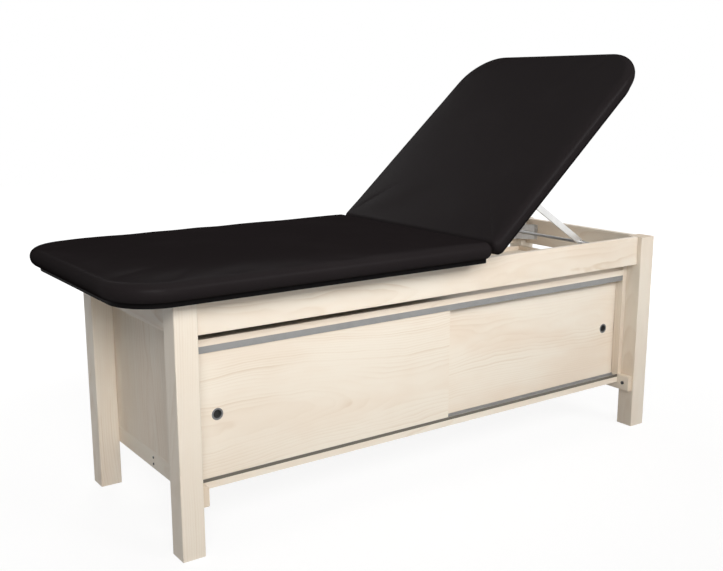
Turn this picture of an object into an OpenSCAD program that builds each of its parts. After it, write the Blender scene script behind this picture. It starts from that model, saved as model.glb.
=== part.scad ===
// Enclosed treatment table: a wooden frame with a sliding-door cabinet under
// a two-section padded top, whose head section lifts on a folding prop.
// X runs from the foot end to the head end, the doors face -Y, and Z is up.
// The model stands as photographed, with the backrest raised.

/* [Frame] */
// Distance over the legs, foot end to head end
frame_l = 1740; // [1500:10:2000]
// Distance over the legs, front to rear
frame_w = 622; // [560:2:700]
// Height of the legs and of the aprons' top edge
leg_h = 660; // [600:5:760]
// Side of a square leg
leg_w = 62; // [50:1:76]
// Radius of the eased leg edges
leg_edge = 3; // [1:0.5:6]
// Radius of the eased edges of the aprons and stretchers
board_edge = 2.5; // [1:0.5:4]
// Height of the aprons
apron_h = 94; // [80:1:110]
// Thickness of the aprons
apron_t = 19; // [16:1:24]
// Setback of the aprons from the legs' outer faces
apron_setback = 17; // [10:1:20]
// Height of the two cross rails
rail_h = 70; // [60:1:90]
// Thickness of the cross rails
rail_t = 24; // [18:1:30]
// Distance from the foot legs' outer faces to the foot cross rail
cross_rail_x = 420; // [300:10:520]

/* [Corner brackets] */
// Height of a corner bracket
bracket_h = 56; // [40:1:70]
// Thickness of its plate
bracket_plate = 2; // [1.5:0.5:3]
// Width of its flange on each apron
bracket_flange = 16; // [12:1:24]
// Distance from the top of the aprons to the bracket
bracket_drop = 19; // [10:1:24]
// Gap between a leg's inner corner and the bracket
bracket_gap = 10.6; // [6:0.2:16]
// Diameter of the bolt into the leg
bolt_d = 8; // [6:1:10]
// Length of the bolt beyond the plate
bolt_tail = 12; // [9:1:20]

/* [Cabinet] */
// Height of the cabinet's underside above the floor
cabinet_z = 151; // [140:1:200]
// Gap between the aprons and the cabinet top
cabinet_gap = 22; // [18:1:40]
// Height of the end and back panels above the cabinet top
panel_rise = 14; // [4:1:16]
// Setback of the cabinet's front from the legs' front faces
cabinet_setback = 55; // [40:1:80]
// Thickness of the cabinet's boards and panels
panel_t = 18; // [15:1:22]
// Thickness of the back panel
back_t = 12; // [6:1:18]
// Height of the stretchers
stretcher_h = 52; // [40:1:70]
// Depth that the stretchers reach below the cabinet
stretcher_drop = 24; // [15:1:40]
// Setback of the stretchers' ends from the legs' faces
stretcher_setback = 7; // [3:1:15]
// Width of the bearer under the cabinet floor
bearer_w = 60; // [40:1:120]

/* [Doors and tracks] */
// Thickness of a door
door_t = 19; // [16:0.5:20]
// Length by which the closed doors pass each other
door_overlap = 60; // [30:2:120]
// Height of the upper track
upper_track_h = 18; // [15:1:24]
// Height of the lower track
lower_track_h = 8.5; // [7:0.5:12]
// Thickness of the tracks' flanges and webs
track_wall = 2.5; // [1.5:0.25:3]
// Room beside a door in its channel, on each side
door_play = 1; // [0.5:0.25:2]
// Clearance under a door and at its ends
door_clear = 0.5; // [0.3:0.1:1]
// Height by which a door reaches into the upper track
door_engage = 5; // [4:0.5:8]
// Outer diameter of a finger pull
pull_d = 32; // [28:1:40]
// Diameter of the pull's cup
pull_cup_d = 22; // [16:1:24]
// Depth of the pull's cup
pull_cup_depth = 10; // [6:0.5:12]
// Distance from a pull's centre to the end panel
pull_inset = 55; // [40:1:100]

/* [Top] */
// Thickness of the base boards
board_t = 12.7; // [12:0.1:18]
// Thickness of the cushions at their seams
cushion_t = 50; // [40:1:75]
// Extra height of a cushion's crown
cushion_crown = 2; // [1:0.5:5]
// Distance that the boards reach beyond the legs' faces at the sides
board_overhang = 47; // [30:1:60]
// Distance that the foot board reaches beyond the foot legs
board_foot_overhang = 131; // [90:1:180]
// Distance that the cushions reach beyond their boards
cushion_overhang = 26; // [15:1:35]
// Corner radius of the boards at the far ends
board_corner = 115; // [60:1:150]
// Corner radius of the boards at the fold
fold_corner = 16; // [10:1:30]
// Distance that the foot cushion reaches past its board at the fold
fold_lip = 8; // [4:1:14]
// Length of the backrest's cushion beyond the hinge
backrest_l = 834; // [700:1:900]
// Distance from the hinge to the backrest's cushion
backrest_gap = 12; // [12:0.5:20]

/* [Backrest mechanism] */
// Angle at which the backrest is drawn
raise = 41.5; // [0:0.5:43]
// Angle of the backrest with the rod in the racks' first notch
notch_angle = 41.5; // [36:0.5:43]
// Distance from the end of the foot board to the hinge axis
hinge_offset = 22; // [20:0.5:30]
// Gap under the backrest's board when it lies flat
flat_gap = 0.3; // [0.2:0.05:1]
// Length of a hinge
hinge_l = 76; // [60:2:100]
// Distance from the aprons' inner faces to the middle of a hinge
hinge_inset = 75; // [60:1:120]
// Outer radius of a hinge knuckle
knuckle_r = 6; // [5:0.25:8]
// Thickness of a hinge leaf
leaf_t = 2.5; // [2:0.25:3]
// Diameter of a hinge pin
hinge_pin_d = 6; // [5:0.5:7]
// Height of the leaf on the rail
rail_leaf_h = 50; // [40:1:60]
// Length of the leaf in the backrest's board
board_leaf_l = 62; // [50:1:80]
// Half the gap between two knuckles
knuckle_gap = 0.25; // [0.1:0.05:0.4]
// Radial clearance of the pins in their bores
pin_clear = 0.05; // [0.02:0.01:0.08]
// Distance from the hinge axis to the prop's pivot, along the board
pivot_s = 291; // [270:1:295]
// Depth of the prop's pivot under the board's top face
pivot_drop = 70; // [62:1:72]
// Slope of the racks down towards the head end
rack_slope = 2.5; // [2:0.1:3.5]
// Distance from the aprons' inner faces to the middle of a prop arm
arm_inset = 58; // [42:1:90]
// Width of a prop arm
arm_w = 20; // [14:0.5:20]
// Thickness of a prop arm
arm_t = 6; // [4:0.5:8]
// Gap between a prop arm and the bracket's cheeks, on each side
arm_play = 1; // [0.5:0.25:2]
// Length of the prop's bracket along the board
cheek_l = 56; // [46:1:70]
// Radius of the bracket's round ends about the pivot
cheek_r = 11; // [9:0.5:14]
// Thickness of the bracket's plate
cheek_t = 3; // [2:0.5:4]
// Width of the bracket's base beyond each cheek
base_ear = 14; // [12:1:20]
// Diameter of the prop's cross rod
rod_d = 10; // [8:0.5:12]
// Diameter of the prop's pivot pins
pivot_pin_d = 8; // [6:0.5:10]
// Distance between two notches of a rack
notch_pitch = 16; // [14:0.5:17]
// Number of notches in a rack
notch_count = 6; // [3:1:6]
// Depth of a notch
notch_depth = 8; // [6:0.5:10]
// Height of a rack's bar
rack_h = 50; // [40:1:60]
// Thickness of a rack
rack_t = 18; // [14:1:22]
// Length of a rack before its first notch
rack_lead = 24; // [16:1:40]
// Length of a rack beyond its last notch
rack_tail = 34; // [20:1:50]
// Gap between the rod and the racks' tooth tips
rack_clear = 0.5; // [0.4:0.1:1]
// Gap between the racks and the head end's corner brackets
rack_gap = 21.7; // [4:0.1:60]

/* [Hidden] */
$fn = 48;

// Timber, metal, vinyl and track colours
maple = "#e6dac4";
steel = "#b9bbbd";
dark_steel = "#3a3a3c";
track_grey = "#8b8e92";
vinyl = "#231f20";
black = "#161414";

// Frame planes, measured from the foot legs' outer faces and from the middle
half_w = frame_w / 2;
leg_in = half_w - leg_w;
apron_y = half_w - apron_setback;
apron_in = apron_y - apron_t;
apron_z = leg_h - apron_h;
span_x0 = leg_w;
span_x1 = frame_l - leg_w;
rail_z = leg_h - rail_h;

// Corner brackets: how far a leg stands inside the aprons, and where the plate meets them
leg_step = leg_w - apron_setback - apron_t;
bracket_reach = 2 * leg_step + bracket_gap * sqrt(2);
bracket_z = leg_h - bracket_drop - bracket_h;
bolt_z = bracket_z + bracket_h / 2;
nut_d = bolt_d * 1.9;
nut_h = bolt_d * 0.8;
bolt_room = 0.05;
bolt_hole = 26;

// Cabinet planes
cabinet_top_z = apron_z - cabinet_gap;
floor_top = cabinet_z + panel_t;
roof_z = cabinet_top_z - panel_t;
stretcher_z = cabinet_z - stretcher_drop;
stretcher_top = stretcher_z + stretcher_h;
stretcher_mid = stretcher_z + stretcher_h / 2;
floor_mid = cabinet_z + panel_t / 2;
bearer_mid = cabinet_z - stretcher_drop * 0.4;
cabinet_y = half_w - cabinet_setback;
bay_x0 = span_x0 + panel_t;
bay_x1 = span_x1 - panel_t;
mid_x = frame_l / 2;
// The tracks stand this far behind the cabinet's front edge, and the divider behind them
front_edge = 1;

// Track and door planes
channel = door_t + 2 * door_play;
track_w = 2 * channel + 3 * track_wall;
track_y = -cabinet_y + front_edge;
door_front_y = track_y + track_wall + door_play;
door_rear_y = door_front_y + channel + track_wall;
door_z0 = floor_top + track_wall + door_clear;
door_z1 = roof_z - upper_track_h + door_engage;
bay_l = bay_x1 - bay_x0;
door_l = (bay_l + door_overlap) / 2 - door_clear;
pull_z = (floor_top + lower_track_h + roof_z - upper_track_h) / 2;
pull_foot_x = bay_x0 + pull_inset;
pull_head_x = bay_x1 - pull_inset;
door_edge = 1;
pull_rim = 1;
pull_wall = 1;
pull_seat = 0.1;

// The prop: two equal sides of a triangle whose base runs along the racks
pivot_r = sqrt(pivot_s * pivot_s + pivot_drop * pivot_drop);
pivot_dip = atan(pivot_drop / pivot_s);
base_angle = raise - pivot_dip + rack_slope;
rod_u = 2 * pivot_r * cos(base_angle);
first_notch = 2 * pivot_r * cos(notch_angle - pivot_dip + rack_slope);
teeth_l = (notch_count - 1) * notch_pitch;

// The head bay, from the foot board's end to the head legs, is as long as the racks need
bracket_end = apron_setback + apron_t + bracket_reach + bracket_flange;
rack_reach = (first_notch + teeth_l + rack_tail) * cos(rack_slope);
head_bay = hinge_offset + rack_reach + rack_gap + bracket_end;

// Top planes, the hinge axis and the backrest's own frame: s along it, n up from its board
board_y = half_w + board_overhang;
foot_board_end = frame_l - head_bay;
cushion_y = board_y + cushion_overhang;
cushion_corner = board_corner + cushion_overhang;
cushion_total = cushion_t + cushion_crown;
board_top = leg_h + board_t;
hinge_x = foot_board_end + hinge_offset;
hinge_z = board_top + flat_gap;
board_s0 = backrest_gap + fold_lip;
board_s1 = backrest_l - cushion_overhang;
cushion_fold_corner = fold_corner + fold_lip;

// Hinge planes
knuckle_l = hinge_l / 5;
rail_x1 = hinge_x - knuckle_r - leaf_t + 0.5;
hinge_y = apron_in - hinge_inset;
leaf_room = 0.1;
leaf_hole_d = 5;
leaf_hole_edge = 14;

// Rod, arms and the prop's brackets
rod_r = rod_d / 2;
rod_end = 7;
rod_l = 2 * (apron_in - rod_end);
arm_y = apron_in - arm_inset;
seat_play = 0.25;
tooth_lean = 0.6;
tooth_flat = 3.2;
cheek_gap = arm_t + 2 * arm_play;
cheek_depth = pivot_drop - board_t;
base_half = cheek_gap / 2 + cheek_t + base_ear;
pivot_pin_l = cheek_gap + 2 * cheek_t + 2;

// Middle of the model's length, which puts the origin under the middle of the whole object
foot_end = -board_foot_overhang - cushion_overhang;
shift_x = -(foot_end + frame_l) / 2;

module place() {
    translate([shift_x, 0, 0]) children();
}

// Everything that the backrest carries is drawn flat with the hinge axis on Y, then raised
module on_backrest() {
    place() translate([hinge_x, 0, hinge_z]) rotate([0, -raise, 0]) children();
}

// The racks' line: u runs from the hinge axis down the slope to the rod
module on_base_line() {
    place() translate([hinge_x, 0, hinge_z]) rotate([0, rack_slope, 0]) children();
}

module block(x0, x1, y0, y1, z0, z1) {
    translate([x0, y0, z0]) cube([x1 - x0, y1 - y0, z1 - z0]);
}

// Rectangle with four eased corners, from the origin
module eased(w, h, r) {
    translate([r, 0]) square([w - 2 * r, h]);
    translate([0, r]) square([w, h - 2 * r]);
    for (x = [r, w - r], y = [r, h - r])
        translate([x, y]) circle(r);
}

// Boards along X and along Y with eased long edges
module plank_x(x0, x1, y0, y1, z0, z1, r) {
    translate([x0, y0, z0]) rotate([90, 0, 90]) linear_extrude(x1 - x0) eased(y1 - y0, z1 - z0, r);
}

module plank_y(x0, x1, y0, y1, z0, z1, r) {
    translate([x0, y1, z0]) rotate([90, 0, 0]) linear_extrude(y1 - y0) eased(x1 - x0, z1 - z0, r);
}

// Rectangle with one corner radius at its low x end and another at its high x end
module rounded_plan(x0, x1, half_y, r0, r1) {
    translate([x0 + r0, -half_y]) square([x1 - r1 - x0 - r0, 2 * half_y]);
    translate([x0, -half_y + r0]) square([r0 + 1, 2 * (half_y - r0)]);
    translate([x1 - r1 - 1, -half_y + r1]) square([r1 + 1, 2 * (half_y - r1)]);
    for (side = [-1, 1]) {
        translate([x0 + r0, side * (half_y - r0)]) circle(r0, $fn = 96);
        translate([x1 - r1, side * (half_y - r1)]) circle(r1, $fn = 96);
    }
}

// Profile in the XZ plane, drawn out along Y about the middle
module across(width) {
    rotate([90, 0, 0]) linear_extrude(width, center = true) children();
}

// A cylinder along Y
module bar(r, l) {
    rotate([90, 0, 0]) cylinder(r = r, h = l, center = true);
}

// Padded slab: rolled sides that draw in to the board, and a low crown on top
module pad(x0, x1, half_y, r0, r1) {
    roll = cushion_t / 2;
    steps = 6;
    dome = 3 * roll;
    hull() {
        for (k = [-steps:steps]) {
            a = 90 * k / steps;
            inset = pad_draw_in * roll * (1 - cos(a));
            translate([0, 0, roll * (1 + sin(a))])
                pad_slice(x0 + inset, x1 - inset, half_y - inset, max(r0 - inset, 1), max(r1 - inset, 1));
        }
        translate([0, 0, cushion_total - pad_skin])
            pad_slice(x0 + dome, x1 - dome, half_y - dome, pad_dome_r, pad_dome_r);
    }
}

// Share of the roll by which the sides draw in, thickness of a slice and the crown's corners
pad_draw_in = 0.92;
pad_skin = 0.1;
pad_dome_r = 60;

module pad_slice(x0, x1, half_y, r0, r1) {
    arc = 90 / 9;
    linear_extrude(pad_skin) polygon([
        for (a = [180:arc:270]) [x0 + r0 + r0 * cos(a), -half_y + r0 + r0 * sin(a)],
        for (a = [270:arc:360]) [x1 - r1 + r1 * cos(a), -half_y + r1 + r1 * sin(a)],
        for (a = [0:arc:90]) [x1 - r1 + r1 * cos(a), half_y - r1 + r1 * sin(a)],
        for (a = [90:arc:180]) [x0 + r0 + r0 * cos(a), half_y - r0 + r0 * sin(a)]
    ]);
}

// Legs and aprons
module leg(x0, side) {
    y0 = side < 0 ? -half_w : leg_in;
    end = x0 < mid_x ? -1 : 1;
    color(maple) difference() {
        place() translate([x0, y0, 0]) linear_extrude(leg_h) eased(leg_w, leg_w, leg_edge);
        at_corner(end, side) on_bolt_line()
            cylinder(d = bolt_d + 2 * bolt_room, h = 2 * bolt_hole, center = true);
    }
}

module leg_foot_front() { leg(0, -1); }
module leg_foot_rear() { leg(0, 1); }
module leg_head_front() { leg(span_x1, -1); }
module leg_head_rear() { leg(span_x1, 1); }

module long_apron(side) {
    y0 = side < 0 ? -apron_y : apron_in;
    color(maple) place()
        plank_x(span_x0, span_x1, y0, y0 + apron_t, apron_z, leg_h, board_edge);
}

module end_apron(x0) {
    color(maple) place() plank_y(x0, x0 + apron_t, -leg_in, leg_in, apron_z, leg_h, board_edge);
}

module apron_front() { long_apron(-1); }
module apron_rear() { long_apron(1); }
module apron_foot() { end_apron(apron_setback); }
module apron_head() { end_apron(frame_l - apron_setback - apron_t); }

// Places its children at an inner corner of the aprons, with both aprons along +X and +Y
module at_corner(end, side) {
    x = end < 0 ? apron_setback + apron_t : frame_l - apron_setback - apron_t;
    place() translate([x, side * apron_in, 0])
        mirror([end > 0 ? 1 : 0, 0, 0]) mirror([0, side > 0 ? 1 : 0, 0]) children();
}

// Corner bracket: a pressed plate across the corner, with a flange on each apron
module corner_bracket(end, side) {
    p = bracket_plate;
    r = bracket_reach;
    f = bracket_flange;
    bend = r + p * tan(22.5);
    color(steel) at_corner(end, side) difference() {
        translate([0, 0, bracket_z]) linear_extrude(bracket_h) polygon([
            [0, r + f], [0, r], [r, 0], [r + f, 0],
            [r + f, p], [bend, p], [p, bend], [p, r + f]]);
        translate([r / 2, r / 2, bolt_z]) rotate([0, 0, 45]) rotate([0, 90, 0])
            cylinder(d = bolt_d + 1, h = 4 * p, center = true);
    }
}

module bracket_foot_front() { corner_bracket(-1, -1); }
module bracket_foot_rear() { corner_bracket(-1, 1); }
module bracket_head_front() { corner_bracket(1, -1); }
module bracket_head_rear() { corner_bracket(1, 1); }

// The bolt's line runs out of the leg's inner corner, square to the bracket's plate
module on_bolt_line() {
    translate([leg_step, leg_step, bolt_z]) rotate([0, 0, 45]) rotate([0, 90, 0]) children();
}

// Bolt from its hole in the leg through the bracket, with a hexagonal nut
module hanger_bolt() {
    plate = bracket_reach / sqrt(2) + bracket_plate - leg_step * sqrt(2);
    on_bolt_line() {
        translate([0, 0, -bolt_hole + 2]) cylinder(d = bolt_d, h = plate + bolt_tail + bolt_hole - 2);
        translate([0, 0, plate]) cylinder(d = nut_d, h = nut_h, $fn = 6);
    }
}

module hanger_bolts() {
    for (end = [-1, 1], side = [-1, 1])
        color(steel) at_corner(end, side) hanger_bolt();
}

// Stretchers, cross rails and bearer
module stretcher(x0) {
    reach = half_w - stretcher_setback;
    color(maple) place()
        plank_y(x0, x0 + panel_t, -reach, reach, stretcher_z, stretcher_top, board_edge);
}

module stretcher_foot() { stretcher(span_x0); }
module stretcher_head() { stretcher(span_x1 - panel_t); }

// Round-headed bolts on the stretchers' inner faces, one into each leg
module stretcher_bolts() {
    color(dark_steel) place() for (x = [bay_x0, bay_x1], side = [-1, 1])
        translate([x, side * (half_w - leg_w / 2), stretcher_mid])
            rotate([0, x < mid_x ? 90 : -90, 0]) bolt_head(5.5, 4);
}

module bolt_head(r, h) {
    difference() {
        cylinder(r = r, h = h);
        translate([0, 0, h - 2]) cylinder(r = r * 0.45, h = 3, $fn = 6);
    }
}

// Pairs of screws through each stretcher, one into the floor and one into its bearer
module floor_screws() {
    color(dark_steel) place() for (x = [span_x0, span_x1], z = [floor_mid, bearer_mid])
        translate([x, 0, z]) rotate([0, x < mid_x ? -90 : 90, 0]) bolt_head(3.5, 1.2);
}

module floor_bearer() {
    color(maple) place() block(bay_x0, bay_x1, -bearer_w / 2, bearer_w / 2, stretcher_z, cabinet_z);
}

module cross_rail(x0) {
    color(maple) place() block(x0, x0 + rail_t, -apron_in, apron_in, rail_z, leg_h);
}

module hinge_rail() { cross_rail(rail_x1 - rail_t); }
module foot_cross_rail() { cross_rail(cross_rail_x); }

// Cabinet boards
module cabinet_floor() {
    color(maple) place() block(bay_x0, bay_x1, -cabinet_y, cabinet_y, cabinet_z, floor_top);
}

module cabinet_top() {
    color(maple) place()
        block(bay_x0, bay_x1, -cabinet_y, cabinet_y - back_t, roof_z, cabinet_top_z);
}

module end_panel(x0) {
    color(maple) place()
        block(x0, x0 + panel_t, -cabinet_y, cabinet_y, stretcher_top, cabinet_top_z + panel_rise);
}

module end_panel_foot() { end_panel(span_x0); }
module end_panel_head() { end_panel(bay_x1); }

module back_panel() {
    color(maple) place()
        block(bay_x0, bay_x1, cabinet_y - back_t, cabinet_y, floor_top, cabinet_top_z + panel_rise);
}

module centre_divider() {
    color(maple) place() block(mid_x - panel_t / 2, mid_x + panel_t / 2,
        track_y + track_w + front_edge, cabinet_y - back_t, floor_top, roof_z);
}

// Door tracks: three flanges on a web, drawn in the YZ plane and run the length of the bay
module track_section(h) {
    square([track_w, track_wall]);
    for (k = [0:2])
        translate([k * (channel + track_wall), 0]) square([track_wall, h]);
}

module track(h) {
    rotate([90, 0, 90]) linear_extrude(bay_l) track_section(h);
}

module lower_track() {
    color(track_grey) place() translate([bay_x0, track_y, floor_top]) track(lower_track_h);
}

module upper_track() {
    color(track_grey) place() translate([bay_x0, track_y, roof_z]) mirror([0, 0, 1])
        track(upper_track_h);
}

// Stepped hole in a door for its finger pull: wide for the rim and narrower for the cup
module pull_hole(x, y) {
    translate([x, y, pull_z]) rotate([-90, 0, 0]) {
        translate([0, 0, -1]) cylinder(d = pull_d + 2 * pull_seat, h = 1 + pull_rim);
        cylinder(r = pull_cup_d / 2 + pull_wall + pull_seat, h = pull_cup_depth + pull_wall + pull_seat);
    }
}

module door(x0, y) {
    x = x0 < mid_x - door_l / 2 ? pull_foot_x : pull_head_x;
    color(maple) place() difference() {
        translate([x0, y, door_z0]) linear_extrude(door_z1 - door_z0) eased(door_l, door_t, door_edge);
        pull_hole(x, y);
    }
}

// Finger pull: a turned cup whose rim stands a little proud of the door
module pull(x, y) {
    cup = pull_cup_d / 2;
    rim = pull_d / 2;
    deep = pull_cup_depth;
    color(track_grey) place() translate([x, y, pull_z]) rotate([-90, 0, 0]) rotate_extrude(convexity = 4)
        polygon([
            [0, deep + pull_wall], [0, deep], [cup, deep], [cup, 0.4],
            [cup + 1.2, -0.4], [rim - 0.8, -0.4], [rim, 0.1], [rim, pull_rim],
            [cup + pull_wall, pull_rim], [cup + pull_wall, deep + pull_wall]]);
}

module door_front() { door(bay_x0 + door_clear, door_front_y); }
module door_front_pull() { pull(pull_foot_x, door_front_y); }
module door_rear() { door(bay_x1 - door_clear - door_l, door_rear_y); }
module door_rear_pull() { pull(pull_head_x, door_rear_y); }

// Foot section of the top
module foot_board() {
    color(black) place() translate([0, 0, leg_h]) linear_extrude(board_t)
        rounded_plan(-board_foot_overhang, foot_board_end, board_y, board_corner, fold_corner);
}

module foot_cushion() {
    color(vinyl) place() translate([0, 0, board_top])
        pad(foot_end, foot_board_end + fold_lip, cushion_y, cushion_corner, cushion_fold_corner);
}

// Hinges: the rail leaf has three knuckles and the board leaf two, on one pin
module knuckles(y, which) {
    for (k = which)
        translate([0, y - hinge_l / 2 + (k + 0.5) * knuckle_l, 0])
            bar(knuckle_r, knuckle_l - 2 * knuckle_gap);
}

module leaf_gaps(y, which, x0, x1, z0, z1) {
    for (k = which)
        block(x0, x1, y - hinge_l / 2 + k * knuckle_l - knuckle_gap,
            y - hinge_l / 2 + (k + 1) * knuckle_l + knuckle_gap, z0, z1);
}

module pin_bore(y) {
    translate([0, y, 0]) bar(hinge_pin_d / 2 + pin_clear, hinge_l + 2);
}

// The rail leaf hangs down the rail's head-side face
module hinge_rail_leaf(y) {
    inner = rail_x1 - hinge_x;
    low = leg_h - hinge_z - rail_leaf_h;
    color(steel) place() translate([hinge_x, 0, hinge_z]) difference() {
        union() {
            knuckles(y, [0, 2, 4]);
            difference() {
                block(inner, inner + leaf_t, y - hinge_l / 2, y + hinge_l / 2, low, 0);
                leaf_gaps(y, [1, 3], inner - 1, 0, -knuckle_r - 1, 1);
            }
        }
        pin_bore(y);
        for (k = [-1, 1])
            translate([inner - 1, y + k * hinge_l / 4, low + leaf_hole_edge]) rotate([0, 90, 0])
                cylinder(d = leaf_hole_d, h = leaf_t + 2);
    }
}

// The board leaf is let into the top face of the backrest's board
module hinge_board_leaf(y) {
    color(steel) on_backrest() difference() {
        union() {
            knuckles(y, [1, 3]);
            difference() {
                block(0, board_leaf_l, y - hinge_l / 2, y + hinge_l / 2, -leaf_t, 0);
                leaf_gaps(y, [0, 2, 4], -1, knuckle_r + 1, -leaf_t - 1, 1);
            }
        }
        pin_bore(y);
        for (k = [-1, 1])
            translate([board_leaf_l - leaf_hole_edge, y + k * hinge_l / 4, -leaf_t - 1])
                cylinder(d = leaf_hole_d, h = leaf_t + 2);
    }
}

module hinge_pin(y) {
    color(steel) place() translate([hinge_x, y, hinge_z]) {
        bar(hinge_pin_d / 2, hinge_l);
        for (end = [-1, 1])
            translate([0, end * (hinge_l / 2 + 0.75), 0]) bar(hinge_pin_d / 2 + 1, 1.5);
    }
}

module hinge_rail_leaf_front() { hinge_rail_leaf(-hinge_y); }
module hinge_rail_leaf_rear() { hinge_rail_leaf(hinge_y); }
module hinge_board_leaf_front() { hinge_board_leaf(-hinge_y); }
module hinge_board_leaf_rear() { hinge_board_leaf(hinge_y); }
module hinge_pin_front() { hinge_pin(-hinge_y); }
module hinge_pin_rear() { hinge_pin(hinge_y); }

// Backrest board with a shallow housing for each hinge leaf
module backrest_board() {
    color(black) on_backrest() difference() {
        translate([0, 0, -board_t]) linear_extrude(board_t)
            rounded_plan(board_s0, board_s1, board_y, fold_corner, board_corner);
        for (side = [-1, 1])
            block(0, board_leaf_l + leaf_room,
                side * hinge_y - hinge_l / 2 - leaf_room,
                side * hinge_y + hinge_l / 2 + leaf_room, -leaf_t, 1);
    }
}

module backrest_cushion() {
    color(vinyl) on_backrest()
        pad(backrest_gap, backrest_l, cushion_y, cushion_fold_corner, cushion_corner);
}

// Prop bracket: a folded plate under the board whose two cheeks carry the pivot pin
module prop_bracket(y) {
    color(steel) on_backrest() translate([pivot_s, y, -board_t]) difference() {
        union() {
            block(-cheek_l / 2, cheek_l / 2, -base_half, base_half, -cheek_t, 0);
            for (side = [-1, 1])
                translate([0, side * (cheek_gap + cheek_t) / 2, 0]) across(cheek_t)
                    cheek_profile();
        }
        translate([0, 0, -cheek_depth]) bar(pivot_pin_d / 2 + pin_clear, 4 * cheek_gap);
        for (x = [-1, 1], side = [-1, 1])
            translate([x * (cheek_l / 2 - 10), side * (base_half - base_ear / 2), -cheek_t - 1])
                cylinder(d = leaf_hole_d, h = cheek_t + 2);
    }
}

// Cheek outline: an ear that tapers to a round end about the pivot
module cheek_profile() {
    w = cheek_l / 2 - 6;
    lean = atan((w - cheek_r) / cheek_depth) / 2;
    side_x = cheek_r * cos(lean);
    side_z = -cheek_depth - cheek_r * sin(lean);
    translate([0, -cheek_depth]) circle(cheek_r);
    polygon([[-w, 0], [w, 0], [side_x, side_z], [-side_x, side_z]]);
}

module pivot_pin(y) {
    color(dark_steel) on_backrest() translate([pivot_s, y, -pivot_drop]) {
        bar(pivot_pin_d / 2, pivot_pin_l);
        for (end = [-1, 1])
            translate([0, end * (pivot_pin_l / 2 + 1.25), 0]) bar(pivot_pin_d / 2 + 2, 2.5);
    }
}

module prop_bracket_front() { prop_bracket(-arm_y); }
module prop_bracket_rear() { prop_bracket(arm_y); }
module pivot_pin_front() { pivot_pin(-arm_y); }
module pivot_pin_rear() { pivot_pin(arm_y); }

// Prop arm, drawn from the rod to the pivot: along the base line, then up by the base angle
module prop_arm(y) {
    color(steel) on_base_line() translate([rod_u, y, 0]) rotate([0, base_angle, 0]) difference() {
        union() {
            block(-pivot_r, 0, -arm_t / 2, arm_t / 2, -arm_w / 2, arm_w / 2);
            for (x = [-pivot_r, 0]) translate([x, 0, 0]) bar(arm_w / 2, arm_t);
        }
        bar(rod_r, 2 * arm_t);
        translate([-pivot_r, 0, 0]) bar(pivot_pin_d / 2 + pin_clear, 2 * arm_t);
    }
}

module prop_arm_front() { prop_arm(-arm_y); }
module prop_arm_rear() { prop_arm(arm_y); }

module prop_rod() {
    color(steel) on_base_line() translate([rod_u, 0, 0]) bar(rod_r, rod_l);
}

// Rack: a hardwood bar with saw teeth, whose first notch holds the rod at its steepest
module rack(side) {
    tip = -rod_r - rack_clear;
    y = side * (apron_in - rack_t / 2);
    color(maple) on_base_line() translate([0, y, 0]) across(rack_t) difference() {
        translate([first_notch - rack_lead, tip - rack_h])
            square([rack_lead + teeth_l + rack_tail, rack_h]);
        for (k = [0:notch_count - 1])
            translate([first_notch + k * notch_pitch, tip]) notch();
    }
}

// One notch: a round seat for the rod, a steep wall towards the head and a ramp towards the foot
module notch() {
    r = rod_r + seat_play;
    mid = r - notch_depth;
    polygon(concat(
        [for (k = [0:10]) let (a = -145 + 14.5 * k) [r * cos(a), mid + r * sin(a)]],
        [[r + tooth_lean, 1], [r + tooth_flat - notch_pitch, 1]]));
}

module rack_front() { rack(-1); }
module rack_rear() { rack(1); }

leg_foot_front();
leg_foot_rear();
leg_head_front();
leg_head_rear();
apron_front();
apron_rear();
apron_foot();
apron_head();
bracket_foot_front();
bracket_foot_rear();
bracket_head_front();
bracket_head_rear();
hanger_bolts();
stretcher_foot();
stretcher_head();
stretcher_bolts();
floor_screws();
floor_bearer();
hinge_rail();
foot_cross_rail();
rack_front();
rack_rear();
cabinet_floor();
cabinet_top();
end_panel_foot();
end_panel_head();
back_panel();
centre_divider();
upper_track();
lower_track();
foot_board();
foot_cushion();
hinge_rail_leaf_front();
hinge_rail_leaf_rear();
hinge_pin_front();
hinge_pin_rear();
hinge_board_leaf_front();
hinge_board_leaf_rear();
backrest_board();
backrest_cushion();
prop_bracket_front();
prop_bracket_rear();
pivot_pin_front();
pivot_pin_rear();
prop_arm_front();
prop_arm_rear();
prop_rod();
door_front();
door_front_pull();
door_rear();
door_rear_pull();
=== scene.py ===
# Enclosed treatment table: maple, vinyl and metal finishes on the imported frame, with
# padded slabs and small screws worked out here, studio light and the photograph's camera.
from math import cos, pi, radians, sin
import bpy
import numpy as np
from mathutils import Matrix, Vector


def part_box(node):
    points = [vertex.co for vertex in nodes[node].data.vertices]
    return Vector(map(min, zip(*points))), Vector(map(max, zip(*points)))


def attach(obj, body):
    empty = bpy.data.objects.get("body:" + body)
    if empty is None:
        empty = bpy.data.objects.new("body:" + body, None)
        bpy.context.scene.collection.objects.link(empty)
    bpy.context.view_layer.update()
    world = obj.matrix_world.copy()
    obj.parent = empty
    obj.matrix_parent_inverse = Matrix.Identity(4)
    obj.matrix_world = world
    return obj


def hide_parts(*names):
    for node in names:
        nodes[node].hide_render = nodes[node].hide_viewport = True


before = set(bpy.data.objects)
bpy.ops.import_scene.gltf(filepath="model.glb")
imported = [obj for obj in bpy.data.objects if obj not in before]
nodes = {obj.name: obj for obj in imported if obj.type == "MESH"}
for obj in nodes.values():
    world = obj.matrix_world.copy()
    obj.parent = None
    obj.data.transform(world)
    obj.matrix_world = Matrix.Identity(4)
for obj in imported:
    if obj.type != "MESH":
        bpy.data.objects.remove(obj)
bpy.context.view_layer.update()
print("frame loaded:", len(nodes), "nodes")


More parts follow.
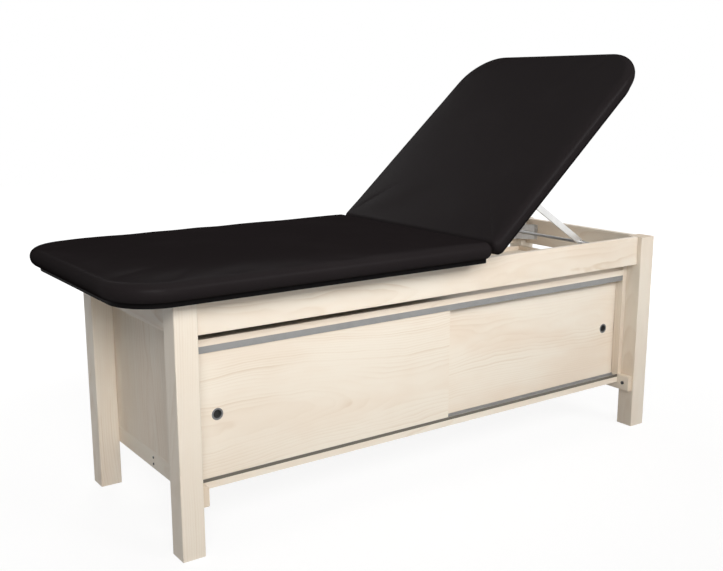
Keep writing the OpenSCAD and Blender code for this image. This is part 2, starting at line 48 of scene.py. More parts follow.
class Wire:
    # an output socket; + - * / and ** on it add Math nodes to its shader tree
    def __init__(self, shaders, socket):
        self.shaders, self.socket = shaders, socket

    def maths(self, operation, *values):
        return self.shaders.add("ShaderNodeMath", {"operation": operation}, dict(enumerate(values)))

    def __add__(self, other):
        return self.maths("ADD", self, other)

    def __radd__(self, other):
        return self.maths("ADD", other, self)

    def __sub__(self, other):
        return self.maths("SUBTRACT", self, other)

    def __rsub__(self, other):
        return self.maths("SUBTRACT", other, self)

    def __mul__(self, other):
        return self.maths("MULTIPLY", self, other)

    def __rmul__(self, other):
        return self.maths("MULTIPLY", other, self)

    def __truediv__(self, other):
        return self.maths("DIVIDE", self, other)

    def __pow__(self, other):
        return self.maths("POWER", self, other)

    def rising(self, low, high):  # 0 below low, 1 above high, smooth between
        return self.shaders.add("ShaderNodeMapRange", {"interpolation_type": "SMOOTHSTEP"},
                                {0: self, 1: low, 2: high, 3: 0.0, 4: 1.0})


class ShaderTree:
    # a node tree; add() makes any node from its type, its settings and what its sockets take
    def __init__(self, tree):
        self.tree = tree

    def add(self, kind, settings=None, sockets=None, output=0):
        node = self.tree.nodes.new(kind)
        for key, value in (settings or {}).items():
            setattr(node, key, value)
        for key, value in (sockets or {}).items():
            if isinstance(value, Wire):
                self.link(value, node.inputs[key])
            else:
                node.inputs[key].default_value = value
        return Wire(self, node.outputs[output])

    def link(self, wire, socket):
        self.tree.links.new(wire.socket, socket)

    def tint(self, amount, first, second):  # first where amount is 0, second where it is 1
        return self.add("ShaderNodeMix", {"data_type": "RGBA"}, {0: amount, 6: first, 7: second}, 2)

    def seenRays(self):  # 1 for the camera's rays and for gloss and clear glass, 0 for light on things
        rays = self.add("ShaderNodeLightPath").socket.node.outputs
        camera, gloss, glass = [Wire(self, rays[f"Is {kind} Ray"])
                                for kind in ("Camera", "Glossy", "Transmission")]
        return camera.maths("MAXIMUM", camera, gloss.maths("MAXIMUM", gloss, glass))


class Finish(ShaderTree):
    # a material whose Principled shader takes fixed values at once and varying ones through wear()
    def __init__(self, name, **fixed):
        self.material = bpy.data.materials.new(name)
        self.material.use_nodes = True
        super().__init__(self.material.node_tree)
        self.shader = self.tree.nodes["Principled BSDF"]
        for socket, value in fixed.items():
            self.shader.inputs[socket.replace("_", " ")].default_value = value
        self.spot = self.add("ShaderNodeTexCoord", output="Object")
        self.facing = Wire(self, self.spot.socket.node.outputs["Normal"])

    def split(self, vector):  # the three numbers of a vector
        first = self.add("ShaderNodeSeparateXYZ", None, {0: vector})
        return [Wire(self, first.socket.node.outputs[k]) for k in range(3)]

    def join(self, x, y, z):
        return self.add("ShaderNodeCombineXYZ", None, {0: x, 1: y, 2: z})

    def cloud(self, vector, scale, detail=2.0, roughness=0.5):  # noise around 0.5
        return self.add("ShaderNodeTexNoise", None,
                        {"Vector": vector, "Scale": scale, "Detail": detail, "Roughness": roughness})

    def cells(self, vector, scale):  # rounded cells, 0 at their middles
        return self.add("ShaderNodeTexVoronoi", {"feature": "SMOOTH_F1"}, {"Vector": vector, "Scale": scale})

    def relief(self, height, depth):
        return self.add("ShaderNodeBump", None, {"Height": height, "Distance": depth, "Strength": 1.0})

    def wear(self, **varying):
        for socket, wire in varying.items():
            self.link(wire, self.shader.inputs[socket.replace("_", " ")])
        return self.material


def paint(node, material):
    slots = nodes[node].data.materials
    slots.clear()
    slots.append(material)


mapleLook = {  # colours and figure of the boards
    "pale": (0.840, 0.765, 0.655, 1), "late": (0.600, 0.450, 0.300, 1), "flush": (0.790, 0.655, 0.525, 1),
    "heartDepth": 0.075,  # how far behind the board's face the log's heart lies
    "wander": 0.085, "wanderAcross": 2.4, "wanderRate": 0.8,  # the heart's way along the board
    "ripple": 0.020, "waves": 0.0055, "taper": 0.012,  # what bends the rings
    "ringWidth": 0.0064, "ringShare": 0.44, "ringPower": 2.2, "ringEnd": 0.80,
    "uneven": 1.6, "unevenRate": 60.0,  # by how much the rings' widths differ, and how quickly
    "strengthPower": 1.8, "strengthLeast": 0.4, "strengthSpan": 0.7, "patchLeast": 0.2,
    "patchRange": (0.36, 0.66), "poreRange": (0.70, 0.80), "flushRange": (0.36, 0.68),
    "endRange": (0.75, 0.95),  # how squarely a face must cut the grain to be end grain
    "flushShare": 0.50, "fibre": 0.09, "clouding": 0.15, "pores": 0.05, "endGrain": 0.45,
    "ior": 1.48, "coat": 0.12, "coatRoughness": 0.30,
    "roughness": 0.44, "roughFibre": 0.12, "roughEnds": 0.2,
    "reliefDepth": 0.00012, "reliefFibre": 0.6, "reliefPores": 0.8, "reliefRing": 0.15,
    "seedStep": 3.7,  # metres along the log from one board to the next
}
mapleNoise = {  # stretch along and across the grain, detail, roughness
    "ripple": (3.4, 9.0, 2.0, 0.5), "waves": (13.0, 16.0, 2.0, 0.5), "patches": (3.0, 14.0, 3.0, 0.5),
    "fibre": (28.0, 700.0, 3.0, 0.6), "pores": (55.0, 1500.0, 1.0, 0.5), "broad": (2.2, 7.0, 3.0, 0.6),
}


def mapleFinish(name, low, high, along, seed, heartShare, warmth, figure):
    # A board sawn from a log. Its rings are the whole and fractional parts of the distance to the
    # log's heart, which lies behind the board and wanders along it. The fraction, raised to a power,
    # draws a soft late line, and noise at the whole part gives each ring a strength of its own.
    # Noise stretched along the grain adds fibre and pores, and broad noise the flush and clouding.
    look = mapleLook
    f = Finish(name, IOR=look["ior"], Coat_Weight=look["coat"], Coat_Roughness=look["coatRoughness"])
    size = high - low
    wide, thin = sorted((k for k in range(3) if k != along), key=lambda k: -size[k])
    place = f.split(f.spot)
    run = place[along] + seed * look["seedStep"]
    drift = f.split(f.add("ShaderNodeTexNoise", None,
                          {"Vector": f.join(run * look["wanderRate"], seed, 0.0), "Scale": 1.0,
                           "Detail": 1.0}, "Color"))
    u = (place[wide] - (low[wide] + size[wide] * heartShare)
         + (drift[0] - 0.5) * look["wander"] * look["wanderAcross"])
    v = place[thin] - (low[thin] + size[thin] + look["heartDepth"]) + (drift[1] - 0.5) * look["wander"]

    def grain(kind, shift=0.0):  # noise stretched along the board
        lengthwise, across, detail, roughness = mapleNoise[kind]
        return f.cloud(f.join(run * lengthwise, u * across, v * across + shift), 1.0, detail, roughness)

    reach = ((u * u + v * v) ** 0.5 + (grain("ripple") - 0.5) * look["ripple"]
             + (grain("waves") - 0.5) * look["waves"] + run * look["taper"])
    uneven = f.cloud(f.join(reach * look["unevenRate"], seed, 0.0), 1.0, 1.0)
    turns = reach / look["ringWidth"] + uneven * look["uneven"]
    whole = turns.maths("FLOOR", turns)
    ring = turns.maths("FRACT", turns)
    chance = f.add("ShaderNodeTexWhiteNoise", {"noise_dimensions": "1D"}, {"W": whole + seed})
    strength = look["strengthLeast"] + (chance ** look["strengthPower"]) * look["strengthSpan"]
    patches = look["patchLeast"] + grain("patches", seed).rising(*look["patchRange"])
    line = (ring ** look["ringPower"]) * (1 - ring.rising(look["ringEnd"], 1.0))
    line = line * (look["ringShare"] * figure) * strength * patches
    fibre = grain("fibre")
    pores = grain("pores", seed).rising(*look["poreRange"])
    broad = grain("broad", seed)
    ends = f.split(f.facing)[along]
    ends = ends.maths("ABSOLUTE", ends).rising(*look["endRange"])
    flush = broad.rising(*look["flushRange"]) * (look["flushShare"] + warmth)
    ground = f.tint(flush, look["pale"], look["flush"])
    shade = (line + (fibre - 0.5) * look["fibre"] + (broad - 0.5) * (look["clouding"] * figure)
             + pores * look["pores"] + ends * look["endGrain"])
    return f.wear(
        Base_Color=f.tint(shade, ground, look["late"]),
        Roughness=look["roughness"] + (fibre - 0.5) * look["roughFibre"] + ends * look["roughEnds"],
        Normal=f.relief(fibre * look["reliefFibre"] - pores * look["reliefPores"]
                        + ring * look["reliefRing"], look["reliefDepth"]))


mapleBoards = {  # grain direction (0 x, 1 y, 2 z), the heart's place across the board, warmth, figure
    "leg_foot_front": (2, 0.3, -0.25, 1.0), "leg_foot_rear": (2, 0.7, 0.15, 1.4),
    "leg_head_front": (2, 0.6, -0.1, 0.9), "leg_head_rear": (2, 0.4, 0.0, 1.3),
    "apron_front": (0, 0.35, 0.05, 1.4), "apron_rear": (0, 0.6, 0.1, 1.3),
    "apron_foot": (1, 0.5, 0.0, 1.5), "apron_head": (1, 0.4, 0.1, 1.3),
    "stretcher_foot": (1, 0.5, 0.1, 1.2), "stretcher_head": (1, 0.3, 0.0, 1.2),
    "floor_bearer": (0, 0.5, 0.1, 1.0), "hinge_rail": (1, 0.5, 0.0, 1.0),
    "foot_cross_rail": (1, 0.4, 0.1, 1.0), "rack_front": (0, 0.5, 0.2, 1.0),
    "rack_rear": (0, 0.4, 0.2, 1.0), "cabinet_floor": (0, 0.5, 0.1, 1.2),
    "cabinet_top": (0, 0.3, 0.0, 1.2), "end_panel_foot": (2, 0.5, 0.05, 1.7),
    "end_panel_head": (2, 0.4, 0.1, 1.4), "back_panel": (0, 0.45, 0.05, 1.4),
    "centre_divider": (2, 0.5, 0.1, 1.0),
    "door_front": (0, 0.42, -0.1, 1.3), "door_rear": (0, 0.55, 0.1, 1.05),
}
for count, (board, (along, heartShare, warmth, figure)) in enumerate(mapleBoards.items()):
    low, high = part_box(board)
    seed = 1.0 + 0.618 * count  # gives each board its own stretch of the log
    paint(board, mapleFinish("maple_" + board, low, high, along, seed, heartShare, warmth, figure))
print("maple boards finished:", len(mapleBoards))


boardLook = {  # the two black base boards; veneer, stipple and rubbedSize are rates per metre
    "paint": (0.0070, 0.0064, 0.0066, 1), "rubbed": (0.022, 0.020, 0.020, 1), "gloss": 0.02,
    "veneer": (8.0, 160.0, 160.0), "stipple": 1400.0, "rubbedSize": 9.0,
    "rubbedRange": (0.60, 0.78), "rubbedShare": 0.5,
    "roughness": 0.55, "roughStipple": 0.2, "roughRubbed": 0.08,
    "reliefDepth": 0.00015, "reliefVeneer": 0.5, "reliefStipple": 0.3,
}


def boardFinish(name):
    # black paint on plywood: faint long ripples of the veneer, fine stipple and a few rubbed spots
    look = boardLook
    f = Finish(name, Specular_IOR_Level=look["gloss"])
    x, y, z = f.split(f.spot)
    rate = look["veneer"]
    veneer = f.cloud(f.join(x * rate[0], y * rate[1], z * rate[2]), 1.0, 3.0)
    stipple = f.cloud(f.spot, look["stipple"])
    rubbed = f.cloud(f.spot, look["rubbedSize"], 4.0, 0.65).rising(*look["rubbedRange"])
    return f.wear(
        Base_Color=f.tint(rubbed * look["rubbedShare"], look["paint"], look["rubbed"]),
        Roughness=look["roughness"] + (stipple - 0.5) * look["roughStipple"] - rubbed * look["roughRubbed"],
        Normal=f.relief(veneer * look["reliefVeneer"] + stipple * look["reliefStipple"],
                        look["reliefDepth"]))


boardPaint = boardFinish("blackPaint")
paint("foot_board", boardPaint)
paint("backrest_board", boardPaint)


brushLook = {  # metals and the tracks' plastic
    "lengthwise": 18.0, "across": 2600.0, "deep": 900.0, "smudge": 22.0,  # rates per metre
    "pale": 1.12, "dull": 0.84,  # shares of the plain colour
    "drawnShare": 1.2, "smudgeShare": 0.5, "smudgeRange": (0.3, 0.8), "roughSmudge": 0.12,
    "frontEdge": (0.0004, 0.0009), "reliefDepth": 0.00006,
}


def brushedFinish(name, colour, roughness, along, across, metallic=1.0, scratch=0.10, front=None):
    # drawn metal: noise stretched along one direction lightens, roughens and scratches the face;
    # front is the y of a front face and the colour of the painted shade laid over that face
    look = brushLook
    f = Finish(name, Metallic=metallic)
    x, y, z = f.split(f.spot)
    a = x * along[0] + y * along[1] + z * along[2]
    b = x * across[0] + y * across[1] + z * across[2]
    drawn = f.cloud(f.join(a * look["lengthwise"], b * look["across"], y * look["deep"]), 1.0, 3.0, 0.6)
    smudge = f.cloud(f.spot, look["smudge"], 3.0, 0.6)
    pale = tuple(min(1.0, c * look["pale"]) for c in colour) + (1,)
    dull = tuple(c * look["dull"] for c in colour) + (1,)
    dulled = (drawn - 0.5) * look["drawnShare"] + smudge.rising(*look["smudgeRange"]) * look["smudgeShare"]
    tone = f.tint(dulled, pale, dull)
    if front:
        place, paintedShadeTone = front
        near, far = look["frontEdge"]
        # painted shade: the front face takes the dark colour given with front
        tone = f.tint(y.rising(place + near, place + far), paintedShadeTone, tone)
    return f.wear(Base_Color=tone, Normal=f.relief(drawn, look["reliefDepth"]),
                  Roughness=roughness + (drawn - 0.5) * scratch + (smudge - 0.5) * look["roughSmudge"])


armTurn = radians(32.97)  # the prop's arms at rest, measured from the floor
armSteel = brushedFinish("armSteel", (0.70, 0.70, 0.69), 0.36, (-cos(armTurn), 0, sin(armTurn)),
                         (sin(armTurn), 0, cos(armTurn)))
rodSteel = brushedFinish("rodSteel", (0.34, 0.34, 0.34), 0.34, (0, 1, 0), (1, 0, 0))
plateSteel = brushedFinish("plateSteel", (0.46, 0.46, 0.46), 0.40, (0, 0, 1), (1, 1, 0))
darkSteel = brushedFinish("darkSteel", (0.055, 0.055, 0.058), 0.42, (0, 0, 1), (1, 1, 0), 0.6)
# painted shade: the upper track takes a darker copy of the lower track's grey, standing for the shade it
# sits in
shadedTrackGrey = brushedFinish("shadedTrackGrey", (0.255, 0.255, 0.252), 0.46, (1, 0, 0), (0, 0, 1), 0.35, 0.06)
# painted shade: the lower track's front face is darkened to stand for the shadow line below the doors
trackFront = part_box("lower_track")[0][1]  # the lower track's front face is darker than its channels
lowerGrey = brushedFinish("lowerGrey", (0.300, 0.297, 0.292), 0.46, (1, 0, 0), (0, 0, 1), 0.35, 0.06,
                          (trackFront, (0.135, 0.122, 0.098, 1)))
metalOf = {"prop_arm": armSteel, "prop_rod": rodSteel, "hinge_pin": rodSteel, "bracket_": plateSteel,
           "hinge_rail_leaf": plateSteel, "hinge_board_leaf": plateSteel, "prop_bracket": plateSteel,
           "hanger_bolts": plateSteel, "pivot_pin": darkSteel, "stretcher_bolts": darkSteel,
           "floor_screws": darkSteel, "upper_track": shadedTrackGrey, "lower_track": lowerGrey}
for name in nodes:
    for start, metal in metalOf.items():
        if name.startswith(start):
            paint(name, metal)

pullLook = {  # the doors' finger pulls
    "ring": (0.155, 0.158, 0.162, 1), "cup": (0.010, 0.010, 0.010, 1), "cupRadius": 0.0112,
    "cupEdge": 0.0006, "ior": 1.5, "stipple": 1800.0, "reliefDepth": 0.00005,
    "roughness": 0.42, "roughStipple": 0.15, "roughCup": 0.2,
}


def pullFinish(name, centre):
    # grey moulded ring whose cup turns black inside the cup's radius from the pull's axis
    look = pullLook
    f = Finish(name, IOR=look["ior"])
    place = f.split(f.spot)
    away = ((place[0] - centre[0]) ** 2.0 + (place[2] - centre[2]) ** 2.0) ** 0.5
    cup = 1 - away.rising(look["cupRadius"] - look["cupEdge"], look["cupRadius"] + look["cupEdge"])
    stipple = f.cloud(f.spot, look["stipple"])
    return f.wear(
        Base_Color=f.tint(cup, look["ring"], look["cup"]),
        Roughness=look["roughness"] + (stipple - 0.5) * look["roughStipple"] + cup * look["roughCup"],
        Normal=f.relief(stipple, look["reliefDepth"]))


for pull in ("door_front_pull", "door_rear_pull"):
    low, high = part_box(pull)
    paint(pull, pullFinish("ring_" + pull, (low + high) / 2))
print("metal and track finishes made")


vinylLook = {  # the cushions' cover; cells, fine, waves and wornSize are rates per metre
    "colour": (0.0145, 0.0118, 0.0124, 1), "worn": (0.0175, 0.0145, 0.0151, 1), "wornShare": 0.6,
    "cells": 950.0, "fine": 2600.0, "waves": 26.0, "wornSize": 5.0, "wornRange": (0.45, 0.8),
    "gloss": 0.056, "glossRoughness": 0.34, "slantRange": (0.45, 0.85),
    "roughness": 0.50, "roughFine": 0.14, "roughWorn": 0.05,
    "reliefDepth": 0.00022, "reliefGrain": 0.7, "reliefFine": 0.2, "reliefWaves": 0.8,
}


def vinylFinish(name):
    # soft upholstery vinyl: fine cell grain and wider waves in the relief, faint clouding in the
    # colour, and a soft gloss that fades where the surface is seen at a slant
    look = vinylLook
    f = Finish(name, Specular_IOR_Level=0.0, Coat_Roughness=look["glossRoughness"])
    grain = f.cells(f.spot, look["cells"])
    fine = f.cloud(f.spot, look["fine"])
    waves = f.cloud(f.spot, look["waves"])
    worn = f.cloud(f.spot, look["wornSize"], 4.0, 0.6).rising(*look["wornRange"])
    slant = f.add("ShaderNodeLayerWeight", None, {"Blend": 0.5}, "Facing")
    return f.wear(
        Base_Color=f.tint(worn * look["wornShare"], look["colour"], look["worn"]),
        Coat_Weight=look["gloss"] * (1 - slant.rising(*look["slantRange"])),
        Roughness=look["roughness"] + (fine - 0.5) * look["roughFine"] + worn * look["roughWorn"],
        Normal=f.relief(grain * look["reliefGrain"] + fine * look["reliefFine"]
                        + waves * look["reliefWaves"], look["reliefDepth"]))


padLook = {  # the cushions' shape and their cloth
    "thick": 0.050, "halfWidth": 0.384, "drawIn": 0.92,
    "crown": 0.0045, "crownPower": 6, "crownFade": 14, "rowSpacing": 1.35,
    "farRadius": 0.141, "foldRadius": 0.024, "leastRadius": 0.002,
    "cornerSteps": 22, "sideSteps": (26, 18), "rollSteps": 19, "crownSteps": 22,
    "underShares": (0.02, 0.25, 0.5, 0.75, 0.92), "middleShare": 0.02,
    "gathers": 0.0006, "gatherCount": 44, "gatherReach": 0.05, "gatherHeight": 0.35, "gatherSpread": 0.30,
    "frames": 14, "pressure": 4.0, "stiffness": 8, "heldRows": 17, "easedRows": 8,
    "puff": 0.0015, "calm": 0.08,  # the cover's furthest move, and how far from the fold it is damped
}
footPad = {"name": "footPad", "node": "foot_cushion", "body": "frame",
           "far": -0.9485, "fold": 0.1575, "lift": 0.6727, "tilt": 0.0}
backPad = {"name": "backPad", "node": "backrest_cushion", "body": "backrest",
           "far": 0.834, "fold": 0.004, "lift": 0.0, "tilt": 41.5}
hinge = (0.1785, 0.673)  # x and z of the backrest's hinge axis
tiny = 1e-9  # keeps a division by a length away from zero


def padOutline(pad, inset):
    # A rectangle drawn in by inset, with quarter circles at its corners and straight runs between.
    # Points run round it in one direction, as many for every inset.
    look = padLook
    middle = (pad["far"] + pad["fold"]) / 2
    halfLength = abs(pad["fold"] - pad["far"]) / 2 - inset
    halfWidth = look["halfWidth"] - inset
    foldSide = 1 if pad["fold"] > pad["far"] else -1
    turn = np.linspace(0, pi / 2, look["cornerSteps"])
    corners = []
    for quarter, (sx, sy) in enumerate(((1, 1), (-1, 1), (-1, -1), (1, -1))):
        radius = look["foldRadius"] if sx == foldSide else look["farRadius"]
        radius = max(radius - inset, look["leastRadius"])
        angle = turn + quarter * pi / 2
        corners.append(np.stack([sx * (halfLength - radius) + radius * np.cos(angle),
                                 sy * (halfWidth - radius) + radius * np.sin(angle)], 1))
    runs = []
    for quarter, corner in enumerate(corners):
        steps = look["sideSteps"][quarter % 2]
        part = np.linspace(0, 1, steps + 2)[1:-1, None]
        runs += [corner, corner[-1] * (1 - part) + corners[(quarter + 1) % 4][0] * part]
    return np.concatenate(runs) + [middle, 0]


def padPoints(pad):
    # Rows run from the middle of the underside, out to its edge, round the rolled side and in over
    # the crown. On the rolled side a row is the outline at its own inset, at the height of its place
    # on a half circle. Elsewhere it is the drawn-in outline shrunk towards the middle by its share.
    # The crown's height at a point is the product, over length and width, of one minus a power of
    # how near to the edge it lies, faded out where the crown meets the rolled side.
    look = padLook
    roll = look["thick"] / 2
    edge = look["drawIn"] * roll
    middle = np.array([(pad["far"] + pad["fold"]) / 2, 0])
    rows, inner = [], padOutline(pad, edge)
    for share in look["underShares"]:
        rows.append(np.column_stack([middle + (inner - middle) * share, np.zeros(len(inner))]))
    for angle in np.linspace(-pi / 2, pi / 2, look["rollSteps"]):
        around = padOutline(pad, edge * (1 - cos(angle)))
        rows.append(np.column_stack([around, np.full(len(around), roll * (1 + sin(angle)))]))
    inward = np.linspace(0, 1, look["crownSteps"])[1:-1]
    for share in np.append(1 - inward ** look["rowSpacing"], look["middleShare"]):
        flat = (inner - middle) * share
        edgeward = np.abs(flat) / np.abs(inner - middle).max(0)
        rise = np.prod(1 - edgeward ** look["crownPower"], axis=1) * (1 - share ** look["crownFade"])
        rows.append(np.column_stack([middle + flat, look["thick"] + look["crown"] * rise]))
    points = np.array(rows)
    # small folds gathered under the wide corners: a cosine of the turn round the corner
    corner = np.abs(points[..., 1]) - (look["halfWidth"] - look["farRadius"])
    far = np.abs(points[..., 0] - pad["fold"]) - (abs(pad["far"] - pad["fold"]) - look["farRadius"])
    reach = look["gatherReach"]
    inCorner = np.clip(corner / reach, 0, 1) * np.clip(far / reach, 0, 1)
    low = np.exp(-((points[..., 2] / roll - look["gatherHeight"]) / look["gatherSpread"]) ** 2)
    fold = look["gathers"] * inCorner * low * np.cos(np.arctan2(corner, far) * look["gatherCount"])
    outward = points[..., :2] - middle
    outward /= np.linalg.norm(outward, axis=-1, keepdims=True) + tiny
    points[..., :2] += outward * fold[..., None]
    return points


def gridFaces(rows, columns):  # quads between neighbouring rows, closed round each row
    r, c = np.meshgrid(np.arange(rows - 1), np.arange(columns), indexing="ij")
    here, ahead = r * columns + c, r * columns + (c + 1) % columns
    return np.stack([here, ahead, ahead + columns, here + columns], -1).reshape(-1, 4)


def endCaps(rows, columns, first=0):  # one face over the first row and one over the last
    last = first + (rows - 1) * columns
    return [range(first + columns - 1, first - 1, -1), range(last, last + columns)]


def makeMesh(name, points, faces, caps=()):
    mesh = bpy.data.meshes.new(name)
    mesh.from_pydata(points.reshape(-1, 3).tolist(), [], faces.tolist() + [list(cap) for cap in caps])
    mesh.polygons.foreach_set("use_smooth", np.ones(len(mesh.polygons), bool))
    mesh.update()
    piece = bpy.data.objects.new(name, mesh)
    bpy.context.scene.collection.objects.link(piece)
    return piece


def readPoints(mesh):
    flat = np.empty(len(mesh.vertices) * 3)
    mesh.vertices.foreach_get("co", flat)
    return flat.reshape(-1, 3)


def writePoints(mesh, points):
    mesh.vertices.foreach_set("co", points.ravel())
    mesh.update()


def puffCover(piece, pad, rows, columns):
    # The cover is blown up as cloth for a few frames with its underside and sides held, then each
    # point is drawn back so that none has moved further than the cap, and least along the fold.
    look = padLook
    start = readPoints(piece.data)
    held = piece.vertex_groups.new(name="held")
    row = np.repeat(np.arange(rows), columns)
    weight = 1 - np.clip((row - look["heldRows"]) / look["easedRows"], 0, 1)
    for value in np.unique(weight):
        held.add(np.flatnonzero(weight == value).tolist(), float(value), "REPLACE")
    cloth = piece.modifiers.new("cover", "CLOTH")
    settings = cloth.settings
    settings.vertex_group_mass = "held"
    settings.use_pressure = True
    settings.uniform_pressure_force = look["pressure"]
    settings.effector_weights.gravity = 0
    settings.bending_stiffness = look["stiffness"]
    cloth.point_cache.frame_end = look["frames"]
    scene = bpy.context.scene
    for number in range(1, look["frames"] + 1):
        scene.frame_set(number)
    after = piece.evaluated_get(bpy.context.evaluated_depsgraph_get())
    moved = readPoints(after.data) - start
    piece.modifiers.remove(cloth)
    piece.vertex_groups.remove(held)
    scene.frame_set(1)
    length = np.linalg.norm(moved, axis=1, keepdims=True) + tiny
    away = np.abs(start[:, 0] - pad["fold"])[:, None]
    calm = np.clip(away / look["calm"], 0, 1) ** 2
    writePoints(piece.data, start + moved / length * look["puff"] * np.tanh(length / look["puff"]) * calm)


def liftPad(piece, pad):
    # turn the flat slab up about the hinge axis by its tilt, and set it on its board
    points = readPoints(piece.data)
    points[:, 2] += pad["lift"]
    if pad["tilt"]:
        turn = radians(pad["tilt"])
        x, z = points[:, 0].copy(), points[:, 2].copy()
        points[:, 0] = hinge[0] + x * cos(turn) - z * sin(turn)
        points[:, 2] = hinge[1] + x * sin(turn) + z * cos(turn)
    writePoints(piece.data, points)


vinyl = vinylFinish("vinyl")
for pad in (footPad, backPad):
    points = padPoints(pad)
    rows, columns = points.shape[:2]
    piece = makeMesh(pad["name"], points, gridFaces(rows, columns), endCaps(rows, columns))
    puffCover(piece, pad, rows, columns)
    liftPad(piece, pad)
    finer = piece.modifiers.new("finer", "SUBSURF")
    finer.levels = finer.render_levels = 1
    piece.data.materials.append(vinyl)
    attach(piece, pad["body"])
    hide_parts(pad["node"])
    print("pad made:", pad["name"], rows, "by", columns)


screwLook = {  # dome holds a ring's shares of the radius and of the rise
    "sides": 24, "dome": ((1.0, 0.0), (1.0, 0.25), (0.90, 0.65), (0.74, 0.92), (0.66, 1.0)),
    "recess": 0.55, "waist": 0.42, "armPower": 6,  # the recess's arms
    "floorShare": 0.86, "tipShare": 0.05, "depth": (0.35, 0.40),  # its floor and the tip below
}
earFix = {"along": 0.291, "across": 0.217, "out": -0.0157, "steps": (0.018, 0.014), "head": (0.0042, 0.0022)}
leafFix = {"x": 0.1730, "across": 0.200, "z": 0.624, "step": 0.019, "head": (0.0046, 0.0010)}
bracketFix = {"ends": ((-0.7555, 1), (0.9125, -1)), "z": 0.613, "step": 0.014,
              "onSide": (0.075, 0.273), "onEnd": (0.002, 0.200), "head": (0.0042, 0.0020)}


def screwHead(radius, rise):
    # A domed head carried round its axis; the inner rings form a four-armed recess whose radius
    # swells four times in a turn. Returns rows of points with the axis on z and the seat at z = 0.
    look = screwLook
    turn = np.arange(look["sides"]) * 2 * pi / look["sides"]
    arms = look["waist"] + (1 - look["waist"]) * np.cos(2 * turn) ** look["armPower"]
    rings = [(np.full_like(turn, share), height * rise) for share, height in look["dome"]]
    rings += [(arms * look["recess"], rise),
              (arms * look["recess"] * look["floorShare"], rise - look["depth"][0] * radius),
              (arms * look["tipShare"], rise - look["depth"][1] * radius)]
    return np.array([np.stack([share * radius * np.cos(turn), share * radius * np.sin(turn),
                               np.full_like(turn, height)], 1) for share, height in rings])


def screwSet(name, body, places, material):
    # one piece of many heads; a place is (point on the seat, outward direction, (radius, rise))
    allPoints, allFaces, caps, count = [], [], [], 0
    for point, outward, (radius, rise) in places:
        head = screwHead(radius, rise)
        up = np.array(outward, float) / np.linalg.norm(outward)
        side = np.cross(up, (0, 1, 0) if abs(up[1]) < 0.9 else (1, 0, 0))
        side /= np.linalg.norm(side)
        axes = np.stack([side, np.cross(up, side), up])
        rows, columns = head.shape[:2]
        allPoints.append((head @ axes + point).reshape(-1, 3))
        allFaces.append(gridFaces(rows, columns) + count)
        caps += endCaps(rows, columns, count)
        count += rows * columns
    piece = makeMesh(name, np.concatenate(allPoints), np.concatenate(allFaces), caps)
    piece.data.materials.append(material)
    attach(piece, body)


def onBackrest(along, across, out):  # a point of the backrest's own frame, in the row frame
    turn = radians(backPad["tilt"])
    return (hinge[0] + along * cos(turn) - out * sin(turn), across,
            hinge[1] + along * sin(turn) + out * cos(turn))


def pair(step):
    return (-step, step)


backDown = (sin(radians(backPad["tilt"])), 0, -cos(radians(backPad["tilt"])))
earScrews = [(onBackrest(earFix["along"] + dx, side * earFix["across"] + dy, earFix["out"]), backDown,
              earFix["head"])
             for side in (-1, 1) for dx in pair(earFix["steps"][0]) for dy in pair(earFix["steps"][1])]
leafScrews = [((leafFix["x"], side * leafFix["across"] + dy, leafFix["z"]), (1, 0, 0), leafFix["head"])
              for side in (-1, 1) for dy in pair(leafFix["step"])]
bracketScrews = []
for (dx, across), endOn in ((bracketFix["onSide"], False), (bracketFix["onEnd"], True)):
    for x, inward in bracketFix["ends"]:
        for side in (-1, 1):
            for dz in pair(bracketFix["step"]):
                place = (x + inward * dx, side * across, bracketFix["z"] + dz)
                outward = (inward, 0, 0) if endOn else (0, -side, 0)
                bracketScrews.append((place, outward, bracketFix["head"]))
screwSet("earScrews", "backrest", earScrews, plateSteel)
screwSet("frameScrews", "frame", leafScrews + bracketScrews, plateSteel)
print("screws made:", len(earScrews) + len(leafScrews) + len(bracketScrews))


white = (1, 1, 1, 1)
floorLook = {"half": 9.0, "shade": (0.36, 0.36, 0.36, 1), "roughness": 0.9, "glow": 1.60,
             "white": 0.55, "whiter": 0.11, "fade": (1.1, 3.2)}  # plain white near, more of it far off
roomLook = {"level": 0.145, "tone": (1.0, 0.930, 0.850, 1)}  # the light that comes from all round


def floorFinish():
    # pale floor that keeps a soft shadow: mostly plain white to the camera and to reflections, the
    # more so with the distance from the middle, so that it ends in the white background
    look = floorLook
    f = Finish("floorPale", Base_Color=look["shade"], Roughness=look["roughness"], Specular_IOR_Level=0.0)
    glow = f.add("ShaderNodeEmission", None, {"Color": white, "Strength": look["glow"]})
    place = f.split(f.spot)
    away = ((place[0] * place[0] + place[1] * place[1]) ** 0.5).rising(*look["fade"])
    plain = f.seenRays() * (look["white"] + away * look["whiter"])
    both = f.add("ShaderNodeMixShader", None, {0: plain, 1: Wire(f, f.shader.outputs[0]), 2: glow})
    f.link(both, f.tree.nodes["Material Output"].inputs["Surface"])
    return f.material


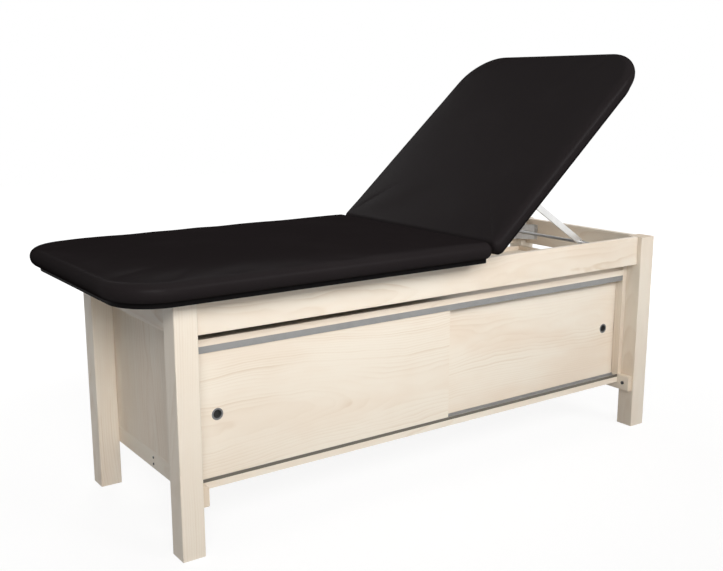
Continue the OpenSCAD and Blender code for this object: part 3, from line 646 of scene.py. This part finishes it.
half = floorLook["half"]
floorGrid = np.array([[(-half, -half, 0), (half, -half, 0)], [(-half, half, 0), (half, half, 0)]])
floor = makeMesh("studioFloor", floorGrid, np.array([[0, 1, 3, 2]]))
floor.data.materials.append(floorFinish())

world = bpy.data.worlds.new("studio")
bpy.context.scene.world = world
world.use_nodes = True
room = ShaderTree(world.node_tree)
seen = room.seenRays()
background = world.node_tree.nodes["Background"]
room.link(roomLook["level"] + seen * (1 - roomLook["level"]), background.inputs["Strength"])
room.link(room.tint(seen, roomLook["tone"], white), background.inputs["Color"])

lamps = {  # place, aim, size, watts, spread in degrees
    "key": ((-2.0, -3.1, 2.6), (-0.55, 0.0, 1.10), (2.2, 1.6), 18.4, 64),
    "fill": ((1.6, -3.4, 2.7), (0.80, 0.0, 1.10), (2.2, 1.6), 15.4, 64),
    "low": ((-1.3, -3.6, 0.60), (-1.10, 0.0, 0.60), (2.4, 0.5), 8, 100),
    "overhead": ((0.3, 0.2, 3.9), (0.1, 0.0, 0.5), (3.2, 2.2), 17, 180),
    "behind": ((0.7, 3.6, 2.2), (0.1, 0.0, 0.4), (2.4, 1.8), 60, 180),
}
for name, (place, aim, size, watts, spread) in lamps.items():
    data = bpy.data.lights.new(name, "AREA")
    data.shape = "RECTANGLE"
    data.size, data.size_y = size
    data.energy = watts
    data.spread = radians(spread)
    lamp = bpy.data.objects.new(name, data)
    lamp.location = place
    lamp.rotation_euler = (Vector(aim) - Vector(place)).to_track_quat("-Z", "Y").to_euler()
    bpy.context.scene.collection.objects.link(lamp)

viewLook = {  # the camera as solved on the photograph's straight edges
    "place": (-1.6856, -2.3401, 1.1571), "yaw": 35.217, "down": 11.852, "sensor": 36, "lens": 47.66,
}
cameraData = bpy.data.cameras.new("photoCamera")
cameraData.sensor_width = viewLook["sensor"]
cameraData.lens = viewLook["lens"]
camera = bpy.data.objects.new("photoCamera", cameraData)
camera.location = viewLook["place"]
camera.rotation_euler = (radians(90 - viewLook["down"]), 0, -radians(viewLook["yaw"]))
bpy.context.scene.collection.objects.link(camera)
bpy.context.scene.camera = camera
bpy.context.scene.view_settings.view_transform = "Standard"
print("stage, lamps and camera placed")
